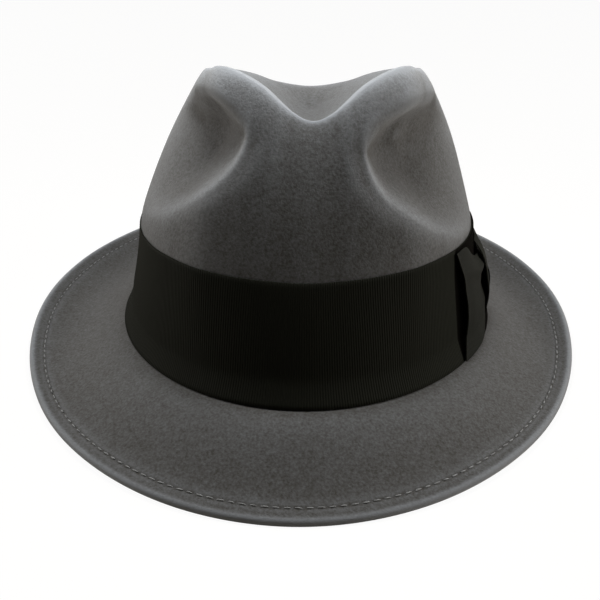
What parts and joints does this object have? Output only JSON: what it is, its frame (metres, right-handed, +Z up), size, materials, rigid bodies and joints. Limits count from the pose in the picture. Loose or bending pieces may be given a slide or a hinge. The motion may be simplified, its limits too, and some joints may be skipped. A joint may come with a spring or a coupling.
{
  "type": "trilby hat",
  "caption": "Felt trilby with a long centre dent, two front pinches, a welted snap brim, a wide ribbon band and a flat side bow.",
  "frame": {"origin": "on the resting surface, under the middle of the hat's outline", "axes": "+Z up, the front of the hat faces -Y, the bow is on the +X side"},
  "size_m": [0.262, 0.298, 0.1403],
  "materials": {
    "felt": "smooth charcoal grey felt",
    "ribbon": "near black ribbed ribbon with a soft sheen"
  },
  "bodies": {
    "root": {"felt_body": "felt", "hat_band": "ribbon", "bow_base": "ribbon", "bow_wing_front": "ribbon", "bow_wing_back": "ribbon", "bow_knot": "ribbon"}
  },
  "joints": []
}
